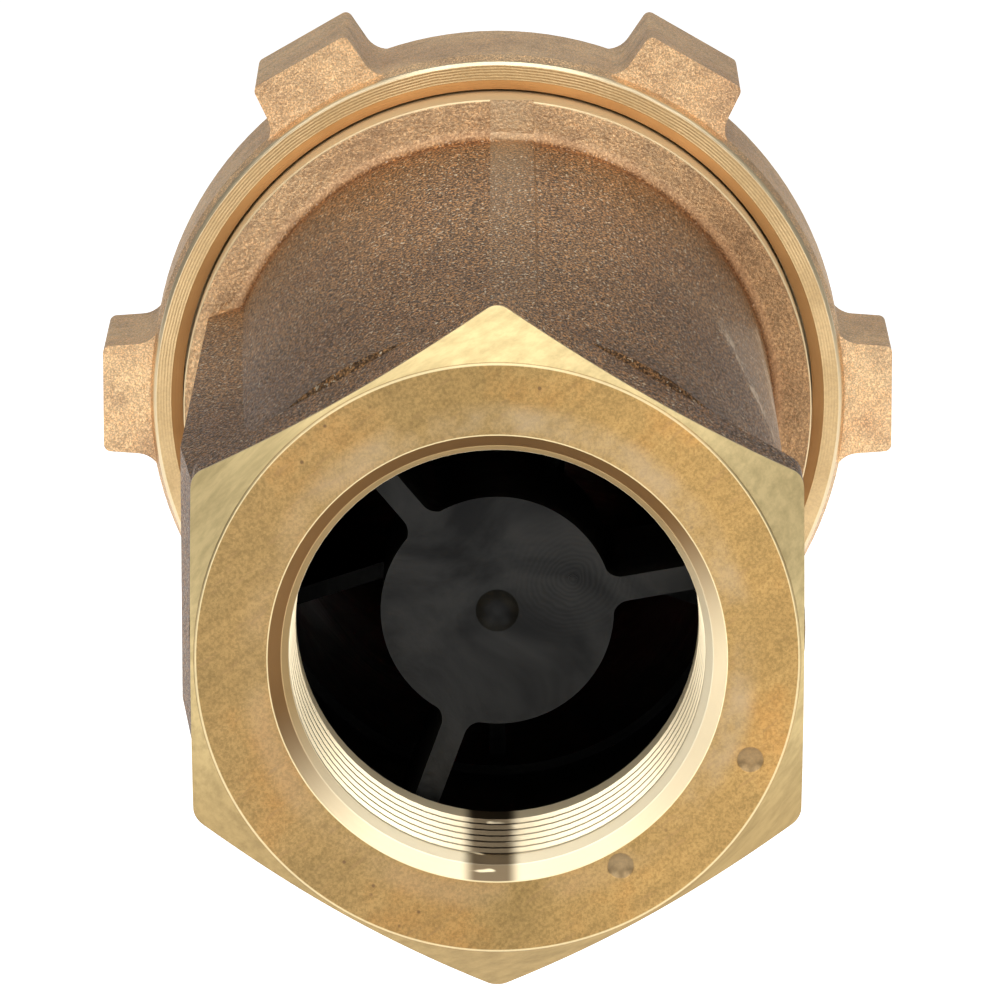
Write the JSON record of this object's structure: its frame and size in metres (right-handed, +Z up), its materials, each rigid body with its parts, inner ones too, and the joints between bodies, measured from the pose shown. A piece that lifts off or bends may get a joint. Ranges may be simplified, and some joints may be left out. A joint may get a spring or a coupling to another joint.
{
  "type": "sight glass",
  "caption": "In-line pipe sight glass: hex inlet body, lugged union ring, and a glass tube in a bronze cage with a turning rotor.",
  "frame": {"origin": "centre of the whole object's box, on the pipe axis", "axes": "+Y along the pipe axis in the direction of flow, from the inlet hex to the outlet hex; +Z up, through a corner of each hex; +X to the right seen from the inlet"},
  "size_m": [0.0982, 0.21, 0.091],
  "materials": {
    "bronze": "sand-cast, with machined faces and threads",
    "black_plastic": "moulded satin",
    "washer_plastic": "natural white, machined",
    "rotor_plastic": "moulded gloss",
    "rubber": "smooth",
    "glass": "clear, polished ends",
    "stainless": "ground"
  },
  "bodies": {
    "body": {"inlet_body": "bronze", "window_body": "bronze", "union_o_ring": "rubber", "glass_tube": "glass", "inlet_glass_gasket": "rubber", "outlet_glass_gasket": "rubber", "cartridge_seat_ring": "rubber", "inlet_spider": "black_plastic", "flow_straightener": "black_plastic", "nose_cone": "black_plastic", "outlet_spider": "black_plastic", "inlet_bush": "washer_plastic", "outlet_bush": "washer_plastic"},
    "slip_ring": {"slip_washer": "washer_plastic"},
    "union_ring": {"ring_nut": "bronze"},
    "rotor": {"rotor": "rotor_plastic", "rotor_shaft": "stainless", "rotor_pin": "stainless", "thrust_washers": "washer_plastic", "shaft_circlips": "stainless"}
  },
  "joints": [
    {"name": "rotor_spin", "type": "hinge", "parent": "body", "child": "rotor", "pos_m": [0, 0.063, 0], "axis": [0, 1, 0], "continuous": true},
    {"name": "ring_travel", "type": "slide", "parent": "body", "child": "slip_ring", "axis": [0, -1, 0], "range_m": [0, 0.0106]},
    {"name": "ring_turn", "type": "hinge", "parent": "slip_ring", "child": "union_ring", "pos_m": [0, 0.038, 0], "axis": [0, -1, 0], "range_deg": [0, 1900]}
  ],
  "couplings": [
    {"joint": "ring_travel", "follows": "ring_turn", "m_per_rad": 0.00031831}
  ]
}
